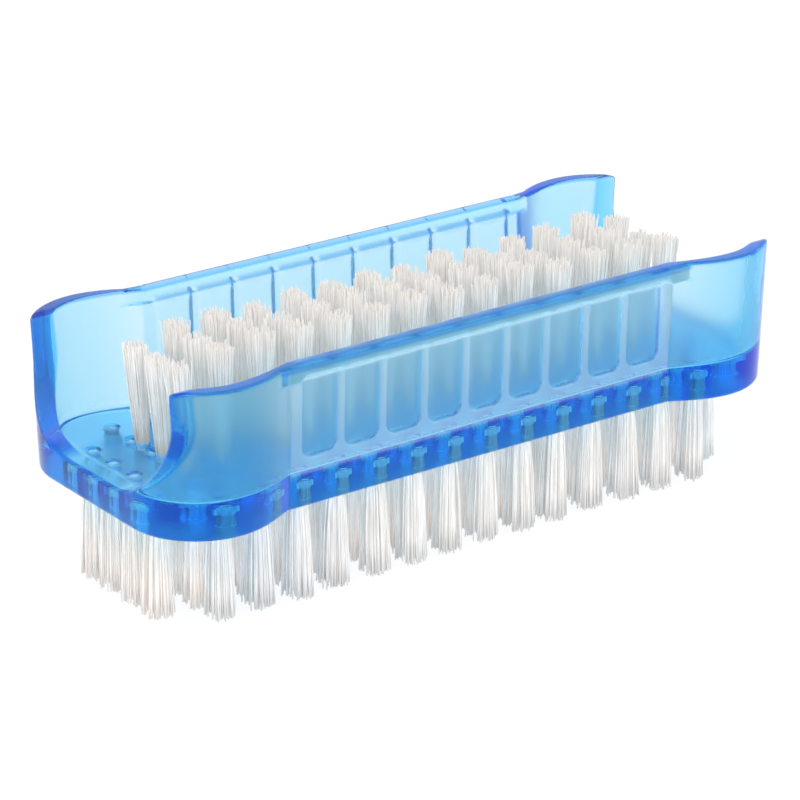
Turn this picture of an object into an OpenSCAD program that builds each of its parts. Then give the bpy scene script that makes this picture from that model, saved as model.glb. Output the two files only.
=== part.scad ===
// Two-sided nail brush: a clear blue moulded body with two grip walls,
// a full field of tufts under its plate and a narrower one in its channel.
// Millimetres. The origin is at the centre of the base, where the lower tufts
// stand; X runs along the brush, Y across it and Z up.

/* [Body] */
// Length of the body at half its height
body_length = 95; // [85:0.5:110]
// Width across the straight middle stretch
waist_width = 32.2; // [30:0.2:35]
// Width across the two wider ends
end_width = 38; // [36:0.2:42]
// Height from the underside of the plate to the top of the walls
body_height = 19; // [15:0.1:24]
// Thickness of the plate that holds the tufts
plate_thickness = 4.15; // [3.95:0.05:6]
// Length of each shoulder, where the waist widens to an end
shoulder_length = 8.5; // [6:0.1:12]
// Radius of the four corners
corner_radius = 9.8; // [8.5:0.1:11]
// How far the sides lean out over the height of the body
draft = 0.6; // [0.2:0.1:1]

/* [Walls] */
// Wall thickness at the wide ends
end_wall = 2.4; // [2:0.1:2.8]
// Wall thickness beside the straight stretch
grip_wall = 1.5; // [1.3:0.1:2.2]
// How much thicker the walls are at their foot
wall_taper = 0.4; // [0.1:0.1:0.8]
// Width of the open mouth at each end
mouth_width = 30.4; // [26:0.2:31.6]
// Radius at the foot of the mouth
mouth_radius = 10.5; // [6:0.1:12]
// Radius at the top of the mouth, where the wall ends
mouth_lip_radius = 0.6; // [0.4:0.1:2.5]

/* [Rails and flutes] */
// Height of the rail along the top of each side
rail_height = 2.3; // [1.5:0.1:4]
// How far the rail stands out from the side
rail_depth = 1.35; // [0.6:0.05:1.8]
// How far each end of the rail runs into the widening
rail_run_in = 2.4; // [1.4:0.1:4]
// Radius of the rail's outer corners
rail_corner = 1; // [0.5:0.1:1.3]
// Distance from flute to flute
flute_pitch = 6.2; // [5.6:0.1:6.5]
// Width of a flute
flute_width = 5.1; // [4:0.1:5.4]
// Depth of a flute
flute_depth = 0.6; // [0.3:0.05:0.8]
// Least plain stretch beside the first and last flute
flute_margin = 0.5; // [0.2:0.1:2]
// Plain band between the plate and the foot of a flute
flute_foot = 2.15; // [0.8:0.05:4]
// Corner radius at the foot of a flute
flute_corner = 1.5; // [0.5:0.1:2]

/* [Tufts] */
// Distance from tuft to tuft along a row
tuft_pitch = 5.65; // [5.4:0.05:5.8]
// Distance from row to row
row_pitch = 4.7; // [4.5:0.05:4.9]
// Least distance from the middle of the last tuft to the end of the body
end_margin = 3.5; // [3:0.1:6]
// Number of lower rows
lower_row_count = 6; // [6:1:6]
// Number of upper rows
upper_row_count = 3; // [3:1:3]
// How far the lower tufts reach below the plate
lower_reach = 13.5; // [8:0.5:18]
// How far the longest upper tufts reach above the plate
upper_reach = 15; // [8:0.1:20]
// How much shorter the shortest strand of a field is
reach_spread = 1.4; // [0.6:0.1:2]
// Strands in a tuft
strand_count = 3; // [1:1:3]
// Thickness of a strand, corner to corner
strand_thickness = 0.85; // [0.5:0.05:0.85]
// Distance of a strand's root from the middle of its tuft
strand_offset = 0.51; // [0.5:0.01:0.52]
// Angle at which lower strands spread
lower_splay = 4; // [0:0.5:4.5]
// Angle at which upper strands spread
upper_splay = 3; // [0:0.5:3]
// Greatest lean of a whole tuft
tuft_lean = 1; // [0:0.5:1]

/* [Tuft holes and anchors] */
// Diameter of a tuft hole
hole_diameter = 2; // [2:0.05:2.2]
// Depth of a tuft hole
hole_depth = 2.6; // [2.4:0.1:3]
// Length of the flat wire that anchors a tuft
anchor_length = 2.4; // [2.3:0.05:2.6]
// Height of the anchor along the hole
anchor_height = 0.7; // [0.5:0.05:0.8]
// Thickness of the anchor
anchor_thickness = 0.35; // [0.25:0.05:0.5]
// Thickness of the folded strands behind the anchor
fold_thickness = 0.3; // [0.2:0.05:0.4]
// Width of the slice of plate that joins the roots of a row
slice_width = 1.3; // [0.9:0.1:1.6]
// Thickness of the slice
slice_thickness = 0.5; // [0.3:0.05:0.8]
// Clearance round roots, slices and anchors
fit_gap = 0.05; // [0.02:0.01:0.08]

/* [Hidden] */

// Straight stretches that stand for a right-angled turn of an arc
arc_steps = 12;
// How far a cut runs past the face that it opens
overrun = 1;
// Depth by which the longest lower strands are cut flat
flat_cut = 0.5;
// How deep a strand starts inside its root
root_overlap = 0.4;
// Turn from one strand or tuft to the next, so that no two look alike
turn_step = 137.5;
// Points of the outline that are nearer than this are one point
same_point = 0.01;

half_length = body_length / 2;
plate_under = lower_reach;
plate_top = plate_under + plate_thickness;
wall_top = plate_under + body_height;
rail_under = wall_top - rail_height;
waist_half = waist_width / 2;
end_half = end_width / 2;
corner_start = half_length - corner_radius;
straight_half = corner_start - shoulder_length;
rail_half = straight_half + rail_run_in;
flute_radius = (pow(flute_width / 2, 2) + pow(flute_depth, 2)) / (2 * flute_depth);
flutes_beside = floor((straight_half - flute_margin - flute_width / 2) / flute_pitch);
full_row_count = 2 * floor((half_length - end_margin) / tuft_pitch + 1 / 2);
short_row_count = full_row_count - 2;
anchor_deep_face = hole_depth - fit_gap - fold_thickness;

body_color = [0.24, 0.6, 0.93];
bristle_color = [0.93, 0.92, 0.9];
anchor_color = [0.74, 0.75, 0.77];

// Points of an arc about (cx, cy) from one angle to another
function arc(cx, cy, radius, from, to) =
    let(steps = max(2, ceil(abs(to - from) / 90 * arc_steps)))
    [for (i = [0:steps])
        let(a = from + (to - from) * i / steps)
        [cx + radius * cos(a), cy + radius * sin(a)]];

// A quarter of the outline, from the end of a straight side to the middle of an
// end: a shoulder that rises as a sine and then a round corner
function quarter(waist, end, corner) =
    concat(
        [for (i = [0:arc_steps])
            [straight_half + shoulder_length * i / arc_steps,
                waist + (end - waist) * sin(90 * i / arc_steps)]],
        arc(corner_start, end - corner, corner, 90, 0));

// The whole outline from a quarter of it, without repeated points
function reversed(points) = [for (i = [len(points) - 1:-1:0]) points[i]];
function mirrored(points, sx, sy) = [for (p = points) [sx * p[0], sy * p[1]]];
function distinct(points) =
    [for (i = [0:len(points) - 1])
        if (norm(points[i] - points[(i + 1) % len(points)]) > same_point) points[i]];
function whole(points) = distinct(concat(
    points, reversed(mirrored(points, 1, -1)),
    mirrored(points, -1, -1), reversed(mirrored(points, -1, 1))));

outer_quarter = quarter(waist_half, end_half, corner_radius);
channel_quarter = quarter(waist_half - grip_wall, end_half - end_wall,
    corner_radius - end_wall);

// Places of the rows and tufts, shared by holes, roots, strands and anchors
function row_y(row, rows) = (row - (rows - 1) / 2) * row_pitch;
function tuft_x(tuft, tufts) = (tuft - (tufts - 1) / 2) * tuft_pitch;
function lower_count(row) =
    row == 0 || row == lower_row_count - 1 ? short_row_count : full_row_count;
function wave(n) = sin(turn_step * n * n + turn_step * n / 2);

module at_lower_row(row)
    translate([0, row_y(row, lower_row_count), plate_under]) mirror([0, 0, 1]) children();

module at_upper_row(row)
    translate([0, row_y(row, upper_row_count), plate_top]) children();

module at_tufts(tufts)
    for (i = [0:tufts - 1]) translate([tuft_x(i, tufts), 0, 0]) children();

// The end opening, seen along the brush: rounded at its foot and at its lips
module mouth_profile() {
    half = mouth_width / 2;
    side = concat(
        arc(half - mouth_radius, plate_top + mouth_radius, mouth_radius, -90, 0),
        arc(half + mouth_lip_radius, wall_top - mouth_lip_radius, mouth_lip_radius, 180, 90),
        [[half + mouth_lip_radius, wall_top + overrun]]);
    polygon(concat(side, reversed(mirrored(side, -1, 1))));
}

module mouth(side)
    translate([side * corner_start, 0, 0])
        rotate([90, 0, side * 90])
            linear_extrude(corner_radius + overrun) mouth_profile();

// A flute, seen square to the side: open at its top, with a rounded foot
module flute_profile() {
    half = flute_width / 2;
    foot = plate_top + flute_foot;
    side = concat(
        arc(half - flute_corner, foot + flute_corner, flute_corner, -90, 0),
        [[half, rail_under]]);
    polygon(concat(side, reversed(mirrored(side, -1, 1))));
}

module flute()
    intersection() {
        translate([0, waist_half - flute_depth + flute_radius, plate_top])
            cylinder(r = flute_radius, h = body_height, $fn = 96);
        translate([0, waist_half + overrun, 0])
            rotate([90, 0, 0])
                linear_extrude(flute_depth + 2 * overrun) flute_profile();
    }

module flutes()
    for (side = [0, 1]) mirror([0, side, 0])
        for (i = [-flutes_beside:flutes_beside])
            translate([i * flute_pitch, 0, 0]) flute();

// A straight bar along the top of a side, rounded at its outer corners
module rail(side) {
    outside = waist_half + rail_depth;
    beyond = concat(
        [[rail_half, waist_half - grip_wall / 2]],
        arc(rail_half - rail_corner, outside - rail_corner, rail_corner, 0, 90));
    translate([0, 0, rail_under])
        linear_extrude(rail_height)
            polygon(mirrored(concat(beyond, reversed(mirrored(beyond, -1, 1))), 1, side));
}

// The flat wire of one tuft, in the frame of its hole, where Z points out
module anchor(gap)
    translate([-anchor_length / 2 - gap, -anchor_thickness / 2 - gap,
            -anchor_deep_face - gap])
        cube([anchor_length + 2 * gap, anchor_thickness + 2 * gap,
            anchor_height + 2 * gap]);

module slice(tufts, gap)
    translate([tuft_x(0, tufts), -slice_width / 2 - gap, -slice_thickness - gap])
        cube([(tufts - 1) * tuft_pitch, slice_width + 2 * gap,
            slice_thickness + gap + (gap > 0 ? overrun : 0)]);

// All that is cut from the plate for one row
module row_cuts(tufts) {
    at_tufts(tufts) {
        translate([0, 0, -hole_depth])
            cylinder(d = hole_diameter, h = hole_depth + overrun, $fn = 24);
        anchor(fit_gap);
    }
    slice(tufts, fit_gap);
}

// A prism on the outline of a quarter, drawn in at its foot and out at its top
module leaning(points, foot_in, top_out) {
    reach = [points[len(points) - 1][0], points[0][1]];
    foot = [for (r = reach) (r - foot_in) / r];
    top = [for (r = reach) (r + top_out) / r];
    linear_extrude(body_height, scale = [top[0] / foot[0], top[1] / foot[1]], slices = 1)
        polygon([for (p = whole(points)) [p[0] * foot[0], p[1] * foot[1]]]);
}

module body()
    color(body_color)
        difference() {
            union() {
                translate([0, 0, plate_under])
                    leaning(outer_quarter, draft / 2, draft / 2);
                rail(1);
                rail(-1);
            }
            translate([0, 0, plate_top])
                leaning(channel_quarter, wall_taper, draft);
            mouth(1);
            mouth(-1);
            flutes();
            for (row = [0:lower_row_count - 1])
                at_lower_row(row) row_cuts(lower_count(row));
            for (row = [0:upper_row_count - 1])
                at_upper_row(row) row_cuts(short_row_count);
        }

// One strand of a tuft, four-sided, leaning out from the middle of the tuft
module strand(number, reach, splay)
    rotate([0, 0, number * 360 / strand_count])
        translate([strand_offset, 0, -root_overlap])
            rotate([0, splay, 0])
                cylinder(d = strand_thickness, h = root_overlap + reach, $fn = 4);

// A row of tufts whose roots fill their holes, joined by the slice of plate
module tuft_row(row, tufts, reach, splay) {
    color(bristle_color)
        for (i = [0:tufts - 1]) {
            seed = row * full_row_count + i;
            translate([tuft_x(i, tufts), 0, 0])
                rotate([0, 0, seed * turn_step])
                    rotate([tuft_lean * wave(seed), 0, 0])
                        for (k = [0:strand_count - 1])
                            strand(k, reach - reach_spread
                                * (1 + wave(seed * strand_count + k)) / 2, splay);
        }
    color(bristle_color)
        difference() {
            at_tufts(tufts)
                translate([0, 0, fit_gap - hole_depth])
                    cylinder(d = hole_diameter - 2 * fit_gap,
                        h = hole_depth - fit_gap, $fn = 24);
            at_tufts(tufts) anchor(fit_gap);
        }
    color(body_color) slice(tufts, 0);
}

module lower_tuft_row(row)
    difference() {
        at_lower_row(row)
            tuft_row(row, lower_count(row), lower_reach + flat_cut, lower_splay);
        translate([-body_length, -body_length, -lower_reach])
            cube([2 * body_length, 2 * body_length, lower_reach]);
    }

module upper_tuft_row(row)
    at_upper_row(row)
        tuft_row(lower_row_count + row, short_row_count, upper_reach, upper_splay);

module lower_anchor_row(row)
    color(anchor_color) at_lower_row(row) at_tufts(lower_count(row)) anchor(0);

module upper_anchor_row(row)
    color(anchor_color) at_upper_row(row) at_tufts(short_row_count) anchor(0);

body();
for (i = [1:lower_row_count]) {
    lower_tuft_row(i - 1);
    lower_anchor_row(i - 1);
}
for (i = [1:upper_row_count]) {
    upper_tuft_row(i - 1);
    upper_anchor_row(i - 1);
}
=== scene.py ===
# A two-sided nail brush: clear blue moulded body, tufts below and above its plate.
# Lengths are in millimetres and angles of lean in radians, unless a comment says otherwise.
import math

import bpy
import numpy as np
import openvdb
from mathutils import Matrix, Vector


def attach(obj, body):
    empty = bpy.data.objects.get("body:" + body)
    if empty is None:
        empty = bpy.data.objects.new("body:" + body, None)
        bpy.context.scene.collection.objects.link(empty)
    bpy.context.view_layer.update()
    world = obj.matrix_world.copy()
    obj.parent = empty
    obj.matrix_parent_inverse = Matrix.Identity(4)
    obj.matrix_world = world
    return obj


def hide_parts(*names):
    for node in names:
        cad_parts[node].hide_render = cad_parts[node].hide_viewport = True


MM = 0.001

# Sizes of the part, as part.scad names them
BODY_LENGTH, WAIST_WIDTH, END_WIDTH, BODY_HEIGHT = 95.0, 32.2, 38.0, 19.0
PLATE_THICKNESS, SHOULDER_LENGTH, CORNER_RADIUS, DRAFT = 4.15, 8.5, 9.8, 0.6
END_WALL, GRIP_WALL, WALL_TAPER = 2.4, 1.4, 0.4
MOUTH_WIDTH, MOUTH_RADIUS, MOUTH_LIP = 30.4, 10.5, 0.6
RAIL_HEIGHT, RAIL_DEPTH, RAIL_RUN_IN, RAIL_CORNER = 2.3, 1.35, 2.4, 1.0
FLUTE_PITCH, FLUTE_WIDTH, FLUTE_DEPTH, FLUTE_FOOT, FLUTE_CORNER = 6.2, 5.4, 0.6, 2.15, 1.6
FLUTES_BESIDE = 4
TUFT_PITCH, ROW_PITCH, FULL_ROW, SHORT_ROW = 5.65, 4.7, 16, 14
LOWER_ROWS, UPPER_ROWS = 6, 3
LOWER_REACH, UPPER_REACH = 13.5, 15.0
HOLE_DIAMETER, HOLE_DEPTH = 2.0, 2.6
ANCHOR_THICKNESS, ANCHOR_DEEP_FACE = 0.35, 2.25

HALF_LENGTH = BODY_LENGTH / 2
WAIST_HALF, END_HALF = WAIST_WIDTH / 2, END_WIDTH / 2
PLATE_UNDER = LOWER_REACH
PLATE_TOP = PLATE_UNDER + PLATE_THICKNESS
WALL_TOP = PLATE_UNDER + BODY_HEIGHT
RAIL_UNDER = WALL_TOP - RAIL_HEIGHT
BRUSH_TOP = PLATE_TOP + UPPER_REACH
CORNER_START = HALF_LENGTH - CORNER_RADIUS
STRAIGHT_HALF = CORNER_START - SHOULDER_LENGTH
RAIL_END = STRAIGHT_HALF + RAIL_RUN_IN

# Radii of the moulding's rounded edges and fillets
UNDERSIDE_EDGE, CHANNEL_EDGE, MOUTH_EDGE, FLOOR_FILLET = 0.45, 0.45, 0.45, 0.6
RAIL_UNDER_EDGE, RAIL_FILLET = 0.2, 0.15
FLUTE_EDGE, FLUTE_HEAD_EDGE = 0.25, 0.3
# The top edge is rounder beside the rails than at the ends, and changes over a short stretch
TOP_EDGE, TOP_EDGE_AT_RAIL, TOP_EDGE_CHANGE = 0.5, 0.85, 3
# Share of its depth that a flute loses at its sides, and how far they lean in for their depth
FLUTE_CROWN, FLUTE_SLOPE = 0.35, 0.8
# Grid of the moulding's distance field: its step, a coarser one for drafts, and the room round it
STEP, DRAFT_STEP = 0.18, 0.3
ROOM_X, ROOM_Y, ROOM_Z = 1.2, 1.4, 0.8

# Tint and frosted share of each area of the moulding, the later ones painted over the earlier. The
# lip, top band, flute floors, ribs and rail edge carry painted light: a glow, darker blue shade
# and highlights.
CLEAR = ((0.94, 0.98, 1.0), 0)
WIDE_END = ((0.92, 0.93, 0.985), 0)
INNER_FACE = ((0.85, 0.94, 1), 0.08)
# Painted glow: the mouth's cut edge is tinted azure and partly frosted, as if light came out of
# the wall's end
LIP_GLOW = ((0.16, 0.6, 1), 0.17)
# Painted shade: a darker blue band along the top edge and the top of the rail's side
TOP_BAND_SHADE = ((0.18, 0.46, 0.9), 0)
# Painted shade: the flute floors are tinted deeper blue than the ribs
FLUTE_FLOOR_SHADE = ((0.5, 0.82, 1), 0.045)
# Painted highlight: the ribs between the flutes are paler and partly frosted
RIB_HIGHLIGHT = ((0.72, 0.88, 0.97), 0.15)
# Painted highlight: a pale line along the rail's lower outer edge
RAIL_EDGE_HIGHLIGHT = ((0.55, 0.84, 1), 0.05)

# Filaments: how many are folded into a tuft, how thick they are and how near to the hole's wall
FILAMENT_COUNT, FILAMENT_WIDTH, FILAMENT_GAP = 54, 0.22, 0.02
# Angle from one root to the next, in radians, which spreads them evenly
GOLDEN_ANGLE = 2.39996
# How many times the filaments' five-sided section is turned over a whole row
SECTION_TURNS = 7
# Lean of a whole tuft: its usual variation, and how far the upper end tufts lean out
TUFT_TILT, END_TILT = 0.012, 0.07
# Distance of the upper end tufts from the middle, and how much shorter they are than the rest
END_TUFT = (SHORT_ROW - 1) / 2 * TUFT_PITCH
END_SHORTER = 1.4
# Stations of a filament above the plate's face, as shares of its length
ARM_SHARES = (1.0, 0.72, 0.42, 0.16)
# Its stations in the hole: depth, and the share of its width along the row that the bundle has
# there. It narrows below the face and is widest beside the anchor.
ROOT_STATIONS = ((0.05, 0.95), (0.5, 0.78), (1.4, 0.75), (ANCHOR_DEEP_FACE - 0.4, 1.08))
# The fold: its depth past the anchor's deep face, and its shares of width across and along the row
FOLD_PAST, FOLD_ACROSS, FOLD_ALONG = 0.12, 0.55, 1.1
# Share of the full thickness at a filament's ends, and the lowest height of its middle line
TIP_SHARE, LOWEST_LINE = 0.82, 0.03
# For each field of tufts: longest reach, unevenness of length, lean of the outermost filaments,
# and how much the lean and curve of single filaments vary
LOWER_FIELD = {"reach": LOWER_REACH, "spread": 1.3, "splay": 0.07, "bend": 0.014}
UPPER_FIELD = {"reach": UPPER_REACH, "spread": 2.2, "splay": 0.045, "bend": 0.016}
FIRST_SEED = 41


# The frame and the camera of the photograph
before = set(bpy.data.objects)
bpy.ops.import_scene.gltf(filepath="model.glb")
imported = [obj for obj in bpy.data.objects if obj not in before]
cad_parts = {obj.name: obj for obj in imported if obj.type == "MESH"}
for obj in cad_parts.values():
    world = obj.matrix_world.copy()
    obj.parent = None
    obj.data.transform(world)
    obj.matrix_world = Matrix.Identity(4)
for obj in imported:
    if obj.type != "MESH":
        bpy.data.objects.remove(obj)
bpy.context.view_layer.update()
scene = bpy.context.scene

CAMERA_PLACE = (-266.46, -364.22, 198.24)
# Azimuth, elevation and roll, in degrees
CAMERA_ANGLES = (-36.05, 22.02, -0.05)
CAMERA_LENS = 173.5


def rotation_from(azimuth, elevation, roll):
    """The camera's axes for a view from an azimuth and elevation, in degrees."""
    a, e, r = (math.radians(v) for v in (azimuth, elevation, roll))
    back = Vector((math.sin(a) * math.cos(e), -math.cos(a) * math.cos(e), math.sin(e)))
    right = Vector((0, 0, 1)).cross(back).normalized()
    up = back.cross(right)
    turned_right = right * math.cos(r) + up * math.sin(r)
    turned_up = up * math.cos(r) - right * math.sin(r)
    return Matrix((turned_right, turned_up, back)).transposed()


def add_camera():
    data = bpy.data.cameras.new("camera")
    data.sensor_width = 36
    data.lens = CAMERA_LENS
    data.clip_start, data.clip_end = 0.01, 20
    camera = bpy.data.objects.new("camera", data)
    scene.collection.objects.link(camera)
    place = Matrix.Translation(Vector(CAMERA_PLACE) * MM)
    camera.matrix_world = place @ rotation_from(*CAMERA_ANGLES).to_4x4()
    scene.camera = camera


add_camera()


# Signed distances, in millimetres, negative inside
def arc(cx, cy, radius, start, end, steps=24):
    angles = np.radians(np.linspace(start, end, steps + 1))
    return np.column_stack((cx + radius * np.cos(angles), cy + radius * np.sin(angles)))


def outline(waist, end, corner):
    """The whole outline from above: straight side, sine shoulder, round corner."""
    t = np.linspace(0, 1, 25)
    shoulder = np.column_stack((STRAIGHT_HALF + SHOULDER_LENGTH * t,
                                waist + (end - waist) * np.sin(np.pi / 2 * t)))
    quarter = np.vstack((shoulder[:-1], arc(CORNER_START, end - corner, corner, 90, 0)))
    half = np.vstack((quarter, quarter[::-1] * (1, -1)))
    return np.vstack((half, half[::-1] * (-1, 1)))


def polygon_distance(points, u, v):
    best = np.full(np.broadcast(u, v).shape, 1e9)
    inside = np.zeros(best.shape, bool)
    for (ax, ay), (bx, by) in zip(points, np.roll(points, -1, axis=0)):
        ex, ey = bx - ax, by - ay
        length = ex * ex + ey * ey
        if length < 1e-12:
            continue
        t = np.clip(((u - ax) * ex + (v - ay) * ey) / length, 0, 1)
        best = np.minimum(best, (u - ax - t * ex) ** 2 + (v - ay - t * ey) ** 2)
        if by != ay:
            crosses = ((ay > v) != (by > v)) & (u < ax + (v - ay) * ex / ey)
            inside ^= crosses
    return np.where(inside, -1, 1) * np.sqrt(best)


def both(a, b, radius):
    """What lies in both, with the edge between them rounded."""
    reach = np.hypot(np.maximum(a + radius, 0), np.maximum(b + radius, 0))
    return np.minimum(np.maximum(a, b), -radius) + reach


def either(a, b, radius):
    """What lies in one or the other, with a fillet between them."""
    return -both(-a, -b, radius)


def lean_at(z):
    """How far the outer side stands out at a height, against half height."""
    return DRAFT * ((z - PLATE_UNDER) / BODY_HEIGHT - 0.5)


def channel_distance(x, y):
    """Distance to the channel's outline from above, before its taper."""
    ring = outline(WAIST_HALF - GRIP_WALL, END_HALF - END_WALL, CORNER_RADIUS - END_WALL)
    return polygon_distance(ring, x, y)


def taper_at(z):
    """How much further out than that outline the channel's side lies at a height."""
    return (WALL_TAPER + DRAFT) * (z - PLATE_TOP) / BODY_HEIGHT - WALL_TAPER


def mouth_distance(y, z):
    half = MOUTH_WIDTH / 2
    side = np.vstack((arc(half - MOUTH_RADIUS, PLATE_TOP + MOUTH_RADIUS, MOUTH_RADIUS, -90, 0),
                      arc(half + MOUTH_LIP, WALL_TOP - MOUTH_LIP, MOUTH_LIP, 180, 90),
                      [[half + MOUTH_LIP, WALL_TOP + 3]]))
    return polygon_distance(np.vstack((side, side[::-1] * (-1, 1))), y, z)


def rail_distance(x, y, z):
    section = both(x - RAIL_END, y - WAIST_HALF - RAIL_DEPTH, RAIL_CORNER)
    return both(section, RAIL_UNDER - z, RAIL_UNDER_EDGE)


def flute_distance(x, y, z):
    """Every flute: a crowned floor inside a panel with sloping sides and a round foot."""
    nearest = np.clip(np.round(x / FLUTE_PITCH), -FLUTES_BESIDE, FLUTES_BESIDE)
    across = x - FLUTE_PITCH * nearest
    side = WAIST_HALF + lean_at(z)
    crown = FLUTE_CROWN * np.clip(across / (FLUTE_WIDTH / 2), -1, 1) ** 2
    floor = side - FLUTE_DEPTH * (1 - crown) - y
    panel = both(np.abs(across) - FLUTE_WIDTH / 2, PLATE_TOP + FLUTE_FOOT - z, FLUTE_CORNER)
    panel = both(panel, z - RAIL_UNDER, FLUTE_HEAD_EDGE) + FLUTE_SLOPE * (side - y)
    return both(floor, panel, FLUTE_EDGE)


def body_distance(step):
    """The moulding's distance field on a quarter of the grid, and its first height."""
    x = (np.arange(math.ceil((HALF_LENGTH + ROOM_X) / step)) + 0.5) * step
    y = (np.arange(math.ceil((END_HALF + ROOM_Y) / step)) + 0.5) * step
    z = PLATE_UNDER - ROOM_Z + np.arange(math.ceil((BODY_HEIGHT + 2 * ROOM_Z) / step)) * step
    xx, yy, zz = x[:, None, None], y[None, :, None], z[None, None, :]
    plan_x, plan_y = x[:, None], y[None, :]
    outer = polygon_distance(outline(WAIST_HALF, END_HALF, CORNER_RADIUS), plan_x, plan_y)
    solid = both(outer[:, :, None] - lean_at(zz), PLATE_UNDER - zz, UNDERSIDE_EDGE)
    solid = either(solid, rail_distance(xx, yy, zz), RAIL_FILLET)
    solid = both(solid, -flute_distance(xx, yy, zz), FLUTE_EDGE)
    beside_rail = np.clip((RAIL_END + 1 - xx) / TOP_EDGE_CHANGE, 0, 1)
    top_edge = TOP_EDGE + (TOP_EDGE_AT_RAIL - TOP_EDGE) * beside_rail
    solid = both(solid, zz - WALL_TOP, top_edge)
    channel = channel_distance(plan_x, plan_y)[:, :, None] - taper_at(zz)
    solid = both(solid, -both(channel, PLATE_TOP - zz, FLOOR_FILLET), CHANNEL_EDGE)
    mouth = mouth_distance(y[:, None], z[None, :])[None, :, :]
    return both(solid, -np.maximum(mouth, CORNER_START - xx), MOUTH_EDGE), z[0]


def ramp_up(value, start, end):
    """0 before start and 1 after end."""
    return np.clip((value - start) / (end - start), 0, 1)


def ramp_down(value, start, end):
    """1 before start and 0 after end."""
    return np.clip((end - value) / (end - start), 0, 1)


def finish_and_painted_light_of(points):
    """Matt share, then colour and frosted share, at points of the moulding in millimetres. The
    colour and frost carry painted glow, shade and highlights as well as the tint.
    """
    x, y, z = np.abs(points[:, 0]), np.abs(points[:, 1]), points[:, 2]
    # How far a point stands out from the waist's side
    proud = y - WAIST_HALF - lean_at(z)
    inside = ramp_down(channel_distance(x, y) - taper_at(z), 0.12, 0.32)

    # The channel's walls and the plate's underside are matt, and the channel's floor half as matt
    wall = ramp_up(z, PLATE_TOP + 0.4, PLATE_TOP + 1) * (z < WALL_TOP - 0.3)
    floor = 0.5 * (np.abs(z - PLATE_TOP) < 0.5)
    matt = inside * np.maximum(wall, floor)
    matt = np.maximum(matt, 0.9 * ramp_down(z, PLATE_UNDER + 0.1, PLATE_UNDER + 0.2))

    wide_end = ramp_up(x, STRAIGHT_HALF, STRAIGHT_HALF + 4)
    inner_face = inside * (z > PLATE_TOP + 0.7)
    # Painted glow along the mouth's cut edge, above the channel's floor
    lip_glow = (ramp_down(np.abs(mouth_distance(y, z)), 0.2, 0.4) * (x > CORNER_START)
           * ramp_up(z, PLATE_TOP + 0.6, PLATE_TOP + 2))
    # The top millimetre of the rail's outer side, and the top edge all round, get a painted darker
    # blue shade
    rail_side_shade = (ramp_up(proud, 0.2, 0.4) * ramp_up(z, WALL_TOP - 1.0, WALL_TOP - 0.7)
                 * ramp_down(x, RAIL_END - 0.6, RAIL_END))
    top_band_shade = np.maximum(rail_side_shade, ramp_up(z, WALL_TOP - 0.4, WALL_TOP - 0.2))
    # Painted deeper blue shade on the flute floors
    flute_floor_shade = (ramp_down(proud, -0.38, -0.25) * (proud > -0.8) * (x < STRAIGHT_HALF)
                   * (z > PLATE_TOP + FLUTE_FOOT) * (z < RAIL_UNDER))
    # Painted highlight on the ribs between the flutes
    rib_highlight = (ramp_up(proud, -0.25, -0.1) * (proud < 0.6)
           * ramp_down(x, STRAIGHT_HALF - 0.3, STRAIGHT_HALF)
           * ramp_up(z, PLATE_TOP + 0.1, PLATE_TOP + 0.5) * (z < RAIL_UNDER))
    # The rail's lower outer edge, with a painted highlight line along it
    rail_edge_highlight = (ramp_up(proud, RAIL_DEPTH - 0.5, RAIL_DEPTH - 0.3) * (x < RAIL_END)
                 * ramp_down(z, RAIL_UNDER + 0.15, RAIL_UNDER + 0.4) * (z > RAIL_UNDER - 0.3))

    color = np.tile(CLEAR[0], (len(points), 1))
    frost = np.zeros(len(points))
    for mask, (tint, share) in ((wide_end, WIDE_END), (inner_face, INNER_FACE), (lip_glow, LIP_GLOW),
                                (top_band_shade, TOP_BAND_SHADE), (flute_floor_shade, FLUTE_FLOOR_SHADE), (rib_highlight, RIB_HIGHLIGHT),
                                (rail_edge_highlight, RAIL_EDGE_HIGHLIGHT)):
        color += mask[:, None] * (np.array(tint) - color)
        frost += mask * (share - frost)
    return matt, np.column_stack((color, frost))


def mesh_object(name, points, quads, triangles=()):
    mesh = bpy.data.meshes.new(name)
    mesh.vertices.add(len(points))
    mesh.vertices.foreach_set("co", np.asarray(points, np.float32).ravel())
    corners = np.concatenate([np.asarray(quads, np.int32).ravel(),
                              np.asarray(triangles, np.int32).ravel()])
    sizes = np.concatenate([np.full(len(quads), 4), np.full(len(triangles), 3)])
    starts = np.concatenate([[0], np.cumsum(sizes)[:-1]]).astype(np.int32)
    mesh.loops.add(len(corners))
    mesh.loops.foreach_set("vertex_index", corners)
    mesh.polygons.add(len(sizes))
    mesh.polygons.foreach_set("loop_start", starts)
    mesh.update(calc_edges=True)
    mesh.validate()
    mesh.shade_smooth()
    piece = bpy.data.objects.new(name, mesh)
    scene.collection.objects.link(piece)
    return piece


# Places of the tufts: x, y, height of the plate's face and the way out of it
def tuft_places(row, rows, tufts, face, out):
    y = (row - (rows - 1) / 2) * ROW_PITCH
    return [((i - (tufts - 1) / 2) * TUFT_PITCH, y, face, out) for i in range(tufts)]


def lower_places(row):
    tufts = SHORT_ROW if row in (0, LOWER_ROWS - 1) else FULL_ROW
    return tuft_places(row, LOWER_ROWS, tufts, PLATE_UNDER, -1)


def upper_places(row):
    return tuft_places(row, UPPER_ROWS, SHORT_ROW, PLATE_TOP, 1)


LOWER_PLACES = [lower_places(row) for row in range(LOWER_ROWS)]
UPPER_PLACES = [upper_places(row) for row in range(UPPER_ROWS)]


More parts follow.
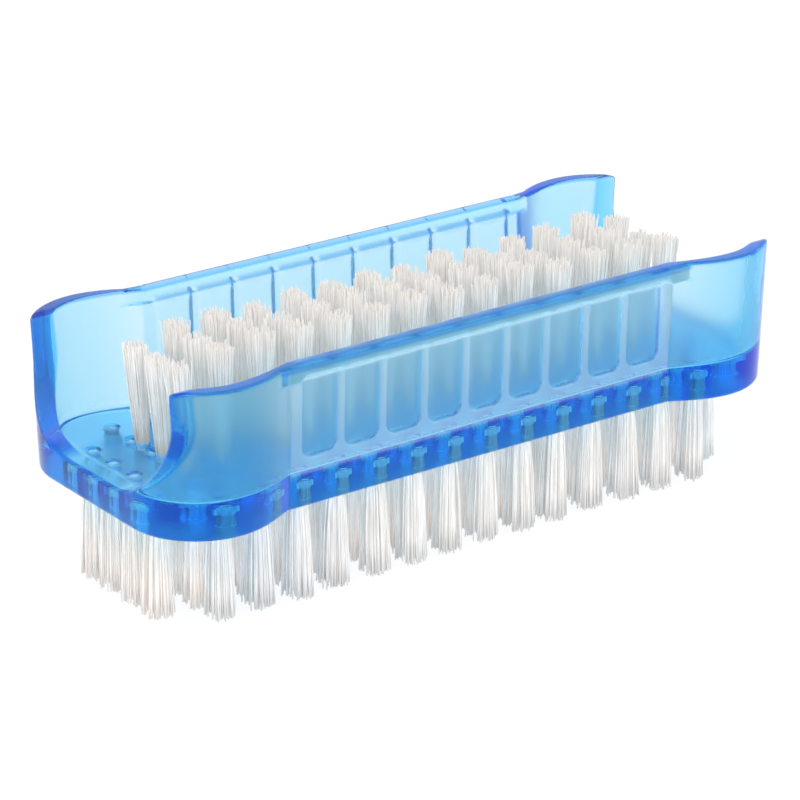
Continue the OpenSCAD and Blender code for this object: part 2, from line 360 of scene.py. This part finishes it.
def air_pocket(ring, place, depths, point):
    """A closed pocket of air in a hole: a ring between two depths, ending in blunt points."""
    sides = len(ring)
    x, y, face, out = place
    points = [(x + cx, y + cy, face - out * depth) for depth in depths for cx, cy in ring]
    points += [(x, y, face - out * (depths[0] - point)), (x, y, face - out * (depths[1] + point))]
    quads, triangles = [], []
    for i in range(sides):
        j = (i + 1) % sides
        quads.append((i, j, sides + j, sides + i)[::out])
        triangles.append((j, i, 2 * sides)[::out])
        triangles.append((sides + i, sides + j, 2 * sides + 1)[::out])
    return points, quads, triangles


def air_pockets(sides=20, height=0.1):
    """The air left at each hole's blind end."""
    angles = np.arange(sides) * 2 * np.pi / sides
    ring = np.column_stack((np.cos(angles), np.sin(angles))) * HOLE_DIAMETER / 2
    points, quads, triangles = [], [], []
    for places in LOWER_PLACES + UPPER_PLACES:
        for place in places:
            more = air_pocket(ring, place, (HOLE_DEPTH - height, HOLE_DEPTH), height)
            first = len(points)
            points += more[0]
            quads += [[corner + first for corner in one] for one in more[1]]
            triangles += [[corner + first for corner in one] for one in more[2]]
    return np.array(points), np.array(quads), np.array(triangles)


def moulding_surface(step):
    """The moulding's surface, in millimetres, with its faces turned outwards."""
    quarter, first_z = body_distance(step)
    half = np.concatenate((quarter[::-1], quarter), axis=0)
    field = np.concatenate((half[:, ::-1], half), axis=1)
    limit = 3 * step
    grid = openvdb.FloatGrid(limit)
    grid.copyFromArray(np.clip(field, -limit, limit).astype(np.float32))
    points, triangles, quads = grid.convertToPolygons(isovalue=0.0, adaptivity=0.0)
    middle_x, middle_y = (field.shape[0] - 1) / 2, (field.shape[1] - 1) / 2
    points = points * step + np.array((-middle_x * step, -middle_y * step, first_z))
    corner = points[quads[:, :3]]
    volume = np.einsum("ij,ij->i", corner[:, 0], np.cross(corner[:, 1], corner[:, 2])).sum()
    if volume < 0:
        quads, triangles = quads[:, ::-1], triangles[:, ::-1]
    return points, quads, triangles.reshape(-1, 3)


def build_body(step):
    """The moulding with its pockets of air, and its tint, frost and painted light stored on the
    mesh.
    """
    points, quads, triangles = moulding_surface(step)
    pocket_points, pocket_quads, pocket_triangles = air_pockets()
    matt, finish_and_painted_light = finish_and_painted_light_of(points)
    matt = np.concatenate((matt, np.zeros(len(pocket_points))))
    finish_and_painted_light = np.vstack((finish_and_painted_light, np.tile((*CLEAR[0], CLEAR[1]), (len(pocket_points), 1))))
    quads = np.vstack((quads, pocket_quads + len(points)))
    triangles = np.vstack((triangles, pocket_triangles + len(points)))
    points = np.vstack((points, pocket_points))
    moulding = mesh_object("body_moulding", points * MM, quads, triangles)
    attributes = moulding.data.attributes
    matt_layer = attributes.new("matt", "FLOAT", "POINT")
    matt_layer.data.foreach_set("value", matt.astype(np.float32))
    finish_and_painted_light_layer = attributes.new("finish_and_painted_light", "FLOAT_COLOR", "POINT")
    finish_and_painted_light_layer.data.foreach_set("color", finish_and_painted_light.astype(np.float32).ravel())
    return moulding


# Tufts: each filament is folded under its anchor and comes out on both sides of it
def root_places(rng):
    """Roots of a tuft's filaments on one side of the anchor, against the tuft's middle."""
    count, width = FILAMENT_COUNT, FILAMENT_WIDTH
    inner = HOLE_DIAMETER / 2 - width / 2 - FILAMENT_GAP
    radius = inner * np.sqrt((np.arange(count) + 0.5) / count)
    angle = np.arange(count) * GOLDEN_ANGLE + rng.uniform(0, 2 * np.pi)
    root_x = radius * np.cos(angle)
    root_y = np.abs(radius * np.sin(angle))
    low_y = ANCHOR_THICKNESS / 2 + width / 2
    root_y = low_y + (inner - low_y) * root_y / inner
    shrink = np.minimum(1, inner / np.hypot(root_x, root_y))
    return root_x * shrink, root_y * shrink, inner


def tuft_filaments(rng, place, reach, spread, splay, bend):
    """Centre lines of the folded filaments of one tuft: count by points by xyz."""
    x, y, face, out = place
    count = FILAMENT_COUNT
    above = out > 0
    root_x, root_y, inner = root_places(rng)
    tilt = rng.normal(0, TUFT_TILT, 2)
    if above:
        tilt[0] += END_TILT * (x / END_TUFT) ** 3
    own = reach - spread * rng.uniform(0, 1) * (0.5 if above else 0.25)
    if above and abs(x) > END_TUFT - TUFT_PITCH / 2:
        own -= END_SHORTER
    arms = []
    for side in (1, -1):
        length = own - spread * 0.5 * rng.uniform(0, 1, count) ** 1.5
        lean_x = splay * root_x / inner + tilt[0] + rng.normal(0, bend, count)
        lean_y = splay * side * root_y / inner + tilt[1] + rng.normal(0, bend, count)
        curve_x, curve_y = rng.normal(0, bend, (2, count))
        points = []
        for share in ARM_SHARES:
            # Lower tufts open at once below the plate, and upper ones evenly
            rise, opened = length * share, length * (share if above else share ** 0.4)
            points.append(np.column_stack((
                x + root_x + lean_x * opened + curve_x * rise * (1 - share),
                y + side * root_y + lean_y * opened + curve_y * rise * (1 - share),
                face + out * rise)))
        for depth, narrowed in ROOT_STATIONS:
            points.append(np.column_stack((
                x + root_x * narrowed, y + side * root_y, np.full(count, face - out * depth))))
        arms.append(points)
    fold_z = np.full(count, face - out * (ANCHOR_DEEP_FACE + FOLD_PAST))
    fold = [np.column_stack((x + root_x * FOLD_ALONG, y + side * root_y * FOLD_ACROSS, fold_z))
            for side in (1, -1)]
    return np.stack(arms[0] + fold + arms[1][::-1], axis=1)


def sweep(lines, width, sides=5):
    """Tubes along the lines, each with its section turned another way, with closed ends."""
    count, rings, _ = lines.shape
    along = np.gradient(lines, axis=1)
    along /= np.linalg.norm(along, axis=2, keepdims=True)
    across = np.cross(along, (1.0, 0.0, 0.0))
    across /= np.linalg.norm(across, axis=2, keepdims=True)
    other = np.cross(along, across)
    turns = np.arange(sides) / sides + np.linspace(0, 1, count)[:, None] * SECTION_TURNS
    angles = turns * 2 * np.pi
    radius = np.full(rings, width / 2)
    radius[0] = radius[-1] = width / 2 * TIP_SHARE
    ring = (across[:, :, None] * np.cos(angles)[:, None, :, None]
            + other[:, :, None] * np.sin(angles)[:, None, :, None]) * radius[None, :, None, None]
    points = (lines[:, :, None] + ring).reshape(-1, 3)
    index = np.arange(count * rings * sides).reshape(count, rings, sides)
    turned = np.roll(index, -1, axis=2)
    quads = np.stack((index[:, :-1], turned[:, :-1], turned[:, 1:], index[:, 1:]), axis=-1)
    ends = np.concatenate((index[:, 0, ::-1], index[:, -1]), axis=0)
    triangles = np.concatenate([np.stack((ends[:, 0], ends[:, k], ends[:, k + 1]), axis=-1)
                                for k in range(1, sides - 1)])
    return points, quads.reshape(-1, 4), triangles


def build_row(name, places, seed, field):
    rng = np.random.default_rng(seed)
    lines = np.concatenate([tuft_filaments(rng, place, **field) for place in places])
    lines[:, :, 2] = np.maximum(lines[:, :, 2], LOWEST_LINE)
    points, quads, triangles = sweep(lines, FILAMENT_WIDTH)
    return mesh_object(name, points * MM, quads, triangles)


# Materials
def new_material(name):
    material = bpy.data.materials.new(name)
    material.use_nodes = True
    nodes, links = material.node_tree.nodes, material.node_tree.links
    return material, nodes, links, nodes["Principled BSDF"], nodes["Material Output"]


def feed(links, socket, value):
    """Links a socket to another node's output, or gives it a number or colour."""
    if isinstance(value, bpy.types.NodeSocket):
        links.new(value, socket)
    else:
        socket.default_value = value


def combine(nodes, links, operation, a, b):
    node = nodes.new("ShaderNodeMath")
    node.operation = operation
    feed(links, node.inputs[0], a)
    feed(links, node.inputs[1], b)
    return node.outputs["Value"]


def span(nodes, links, source, low, high, start, end):
    """Goes from start to end while the source goes from low to high."""
    ramp = nodes.new("ShaderNodeMapRange")
    for name, value in (("From Min", low), ("From Max", high), ("To Min", start), ("To Max", end)):
        ramp.inputs[name].default_value = value
    links.new(source, ramp.inputs["Value"])
    return ramp.outputs["Result"]


def mix_colors(nodes, links, factor, a, b, blend_type="MIX"):
    node = nodes.new("ShaderNodeMix")
    node.data_type, node.blend_type = "RGBA", blend_type
    feed(links, node.inputs["Factor"], factor)
    feed(links, node.inputs["A"], a)
    feed(links, node.inputs["B"], b)
    return node.outputs["Result"]


def color_ramp(nodes, links, source, stops):
    ramp = nodes.new("ShaderNodeValToRGB")
    points = ramp.color_ramp.elements
    while len(points) < len(stops):
        points.new(0.5)
    for point, (place, color) in zip(points, stops):
        point.position, point.color = place, (*color, 1)
    links.new(source, ramp.inputs["Fac"])
    return ramp.outputs["Color"]


def noise(nodes, links, place, scale, detail):
    texture = nodes.new("ShaderNodeTexNoise")
    texture.inputs["Scale"].default_value = scale
    texture.inputs["Detail"].default_value = detail
    links.new(place, texture.inputs["Vector"])
    return texture.outputs["Fac"]


def object_place(nodes):
    return nodes.new("ShaderNodeTexCoord").outputs["Object"]


def mesh_attribute(nodes, name):
    node = nodes.new("ShaderNodeAttribute")
    node.attribute_name = name
    return node.outputs


def mix_shaders(nodes, links, factor, a, b, output):
    mix = nodes.new("ShaderNodeMixShader")
    links.new(factor, mix.inputs["Fac"])
    links.new(a, mix.inputs[1])
    links.new(b, mix.inputs[2])
    links.new(mix.outputs["Shader"], output.inputs["Surface"])


def let_light_through(nodes, links, shader, output):
    """Shadow rays pass the surface, so that lamps and sky light what is inside."""
    path = nodes.new("ShaderNodeLightPath")
    clear = nodes.new("ShaderNodeBsdfTransparent")
    mix_shaders(nodes, links, path.outputs["Is Shadow Ray"], shader.outputs["BSDF"],
                clear.outputs["BSDF"], output)


def blue_plastic():
    """Clear moulding, polished outside, with matt inner faces round the channel, and painted glow,
    shade and highlights in its colour.
    """
    material, nodes, links, shader, output = new_material("blue_plastic_clear")
    place = object_place(nodes)
    finish_and_painted_light = mesh_attribute(nodes, "finish_and_painted_light")
    clear = combine(nodes, links, "SUBTRACT", 1, finish_and_painted_light["Alpha"])
    # The stored colour and frost carry painted glow, shade and highlights as well as the tint
    links.new(finish_and_painted_light["Color"], shader.inputs["Base Color"])
    links.new(clear, shader.inputs["Transmission Weight"])
    shader.inputs["IOR"].default_value = 1.5
    shader.inputs["Specular IOR Level"].default_value = 0.2
    shader.inputs["Specular Tint"].default_value = (0.4, 0.75, 1, 1)

    scuffs = noise(nodes, links, place, 900, 3)
    polish = span(nodes, links, scuffs, 0.45, 0.8, 0.05, 0.12)
    matt = combine(nodes, links, "MULTIPLY", mesh_attribute(nodes, "matt")["Fac"], 0.32)
    links.new(combine(nodes, links, "MAXIMUM", polish, matt), shader.inputs["Roughness"])

    bump = nodes.new("ShaderNodeBump")
    bump.inputs["Strength"].default_value = 0.25
    bump.inputs["Distance"].default_value = 0.1 * MM
    links.new(noise(nodes, links, place, 160, 1), bump.inputs["Height"])
    links.new(bump.outputs["Normal"], shader.inputs["Normal"])

    absorb = nodes.new("ShaderNodeVolumeAbsorption")
    absorb.inputs["Color"].default_value = (0.0, 0.775, 0.99, 1)
    absorb.inputs["Density"].default_value = 280
    links.new(absorb.outputs["Volume"], output.inputs["Volume"])
    let_light_through(nodes, links, shader, output)
    return material


# Nylon's colour by height: the lower tufts, painted lighter and warmer towards the plate to offset
# the blue shade there, the roots in the plate, with a painted blue shade near both faces and grey
# between, and the upper tufts, browner at their foot and warmer at their tips
NYLON_STOPS = [(0, (0.84, 0.835, 0.83)), (7, (0.85, 0.83, 0.81)), (13.3, (0.92, 0.85, 0.8)),
               (13.6, (0.5, 0.76, 0.93)), (15, (0.5, 0.76, 0.93)),
               (15.2, (0.84, 0.84, 0.84)), (16.1, (0.84, 0.84, 0.84)),
               (16.3, (0.6, 0.8, 0.93)), (17.55, (0.6, 0.8, 0.93)),
               (17.75, (0.68, 0.6, 0.52)), (19.8, (0.79, 0.775, 0.76)),
               (28, (0.81, 0.805, 0.8)), (32.6, (0.81, 0.78, 0.75))]
# The roots that show through the side of the plate, and the fold above them, painted darker as the
# shade inside the holes
OUTER_ROOT_SHADE, OUTER_FOLD_SHADE = (0.6, 0.5, 0.56, 1), (0.78, 0.66, 0.76, 1)
# The lower tufts behind the outer rows, where the plate's blue shade falls, painted lighter and
# warmer to offset it
LIGHTENED_SHADED_TUFT = (0.99, 0.92, 0.875, 1)
STREAK_STOPS = [(0.35, (0.86, 0.84, 0.82)), (0.62, (1, 1, 1))]


def nylon_color(nodes, links, place):
    """Colour by height, with painted shade on the outer roots, painted lightening on the tufts in
    the plate's shade, and fine streaks.
    """
    parts = nodes.new("ShaderNodeSeparateXYZ")
    links.new(place, parts.inputs["Vector"])
    height = span(nodes, links, parts.outputs["Z"], 0, BRUSH_TOP * MM, 0, 1)
    stops = [(level / BRUSH_TOP, color) for level, color in NYLON_STOPS]
    color = color_ramp(nodes, links, height, stops)

    def between(source, low, high, start, end):
        return span(nodes, links, source, low * MM, high * MM, start, end)

    along = combine(nodes, links, "ABSOLUTE", parts.outputs["X"], 0)
    across = combine(nodes, links, "ABSOLUTE", parts.outputs["Y"], 0)
    level = parts.outputs["Z"]
    outer_root = combine(nodes, links, "MULTIPLY", between(across, 10, 10.4, 0, 1),
                         between(level, PLATE_UNDER - 0.1, PLATE_UNDER + 0.1, 0, 1))
    folded = between(level, PLATE_UNDER + 1.35, PLATE_UNDER + 1.6, 0, 1)
    # Painted shade on the roots and folds that show through the plate's side
    root_shade_color = mix_colors(nodes, links, folded, OUTER_ROOT_SHADE, OUTER_FOLD_SHADE)
    color = mix_colors(nodes, links, outer_root, color, root_shade_color)

    shaded = combine(nodes, links, "MULTIPLY", between(across, 10, 10.4, 1, 0),
                     between(level, PLATE_UNDER - 0.3, PLATE_UNDER - 0.1, 1, 0))
    shaded = combine(nodes, links, "MULTIPLY", shaded, between(along, 38, 40, 1, 0.4))
    # Painted light: the tufts in the plate's shade are made lighter and warmer
    color = mix_colors(nodes, links, shaded, color, LIGHTENED_SHADED_TUFT)

    stretch = nodes.new("ShaderNodeMapping")
    stretch.inputs["Scale"].default_value = (1, 1, 0.06)
    links.new(place, stretch.inputs["Vector"])
    streaks = noise(nodes, links, stretch.outputs["Vector"], 3200, 2)
    return mix_colors(nodes, links, 1, color, color_ramp(nodes, links, streaks, STREAK_STOPS),
                      "MULTIPLY")


def nylon():
    """White filament, glossy and a little see-through."""
    material, nodes, links, shader, output = new_material("nylon_filament")
    links.new(nylon_color(nodes, links, object_place(nodes)), shader.inputs["Base Color"])
    shader.inputs["Roughness"].default_value = 0.3
    shader.inputs["IOR"].default_value = 1.5
    shader.inputs["Transmission Weight"].default_value = 0.2
    let_light_through(nodes, links, shader, output)
    return material


def wire():
    """Drawn steel, duller in places."""
    material, nodes, links, shader, _ = new_material("anchor_wire")
    drawn = noise(nodes, links, object_place(nodes), 3000, 2)
    links.new(span(nodes, links, drawn, 0, 1, 0.45, 0.7), shader.inputs["Roughness"])
    shader.inputs["Base Color"].default_value = (0.86, 0.87, 0.88, 1)
    shader.inputs["Metallic"].default_value = 1
    return material


def give(piece, material):
    piece.data.materials.clear()
    piece.data.materials.append(material)


# The pieces
plastic, nylon_material, wire_material = blue_plastic(), nylon(), wire()
body = build_body(STEP)
give(body, plastic)
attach(body, "root")
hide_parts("body")

rows = [("lower", row, places, LOWER_FIELD) for row, places in enumerate(LOWER_PLACES)]
rows += [("upper", row, places, UPPER_FIELD) for row, places in enumerate(UPPER_PLACES)]
for seed, (side, row, places, field) in enumerate(rows, FIRST_SEED):
    piece = build_row(f"{side}_tufts_{row + 1}", places, seed, field)
    give(piece, nylon_material)
    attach(piece, "root")
    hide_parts(f"{side}_tuft_row_{row + 1}")
    give(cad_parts[f"{side}_anchor_row_{row + 1}"], wire_material)


# Floor, world and lamps, in metres and watts
def seen_directly(nodes, links):
    """1 for rays from the camera, or those that a gloss or clear surface sends on."""
    path = nodes.new("ShaderNodeLightPath").outputs
    direct = combine(nodes, links, "MAXIMUM", path["Is Camera Ray"], path["Is Glossy Ray"])
    return combine(nodes, links, "MAXIMUM", direct, path["Is Transmission Ray"])


def white_world(level):
    """Soft light from all round, seen as plain white."""
    world = bpy.data.worlds.new("studio")
    scene.world = world
    world.use_nodes = True
    nodes, links = world.node_tree.nodes, world.node_tree.links
    light, white = nodes["Background"], nodes.new("ShaderNodeBackground")
    light.inputs["Color"].default_value = (1, 1, 1, 1)
    light.inputs["Strength"].default_value = level
    white.inputs["Color"].default_value = (1, 1, 1, 1)
    mix_shaders(nodes, links, seen_directly(nodes, links), light.outputs["Background"],
                white.outputs["Background"], nodes["World Output"])


def white_floor(share):
    """A pale floor, seen as white for the given share and in its own light for the rest."""
    floor = mesh_object("floor", [(-4, -4, 0), (4, -4, 0), (4, 4, 0), (-4, 4, 0)], [(0, 1, 2, 3)])
    material, nodes, links, shader, output = new_material("studio_floor")
    shader.inputs["Base Color"].default_value = (0.9, 0.9, 0.9, 1)
    shader.inputs["Roughness"].default_value = 0.9
    shader.inputs["Specular IOR Level"].default_value = 0
    glow = nodes.new("ShaderNodeEmission")
    glow.inputs["Strength"].default_value = 1
    seen = combine(nodes, links, "MULTIPLY", seen_directly(nodes, links), share)
    mix_shaders(nodes, links, seen, shader.outputs["BSDF"], glow.outputs["Emission"], output)
    give(floor, material)


def lamp(name, at, towards, size, watts):
    data = bpy.data.lights.new(name, "AREA")
    data.shape, data.size, data.energy = "DISK", size, watts
    light = bpy.data.objects.new(name, data)
    scene.collection.objects.link(light)
    light.location = at
    light.rotation_euler = (Vector(at) - Vector(towards)).to_track_quat("Z", "Y").to_euler()


white_world(1.2)
white_floor(0.85)
lamp("key", (-0.35, -0.25, 0.6), (0, 0, 0.02), 0.35, 1.9)
lamp("front", (-0.3, -0.7, 0.12), (0, 0, 0.015), 0.6, 1.1)
lamp("side", (0.55, -0.5, 0.25), (0, 0, 0.02), 0.5, 1.4)

# Many bounces, because light crosses several walls and tufts before it comes out
scene.view_settings.view_transform = "Standard"
scene.cycles.max_bounces = 48
scene.cycles.transmission_bounces = 32
scene.cycles.glossy_bounces = 16
scene.cycles.diffuse_bounces = 24
scene.cycles.transparent_max_bounces = 64
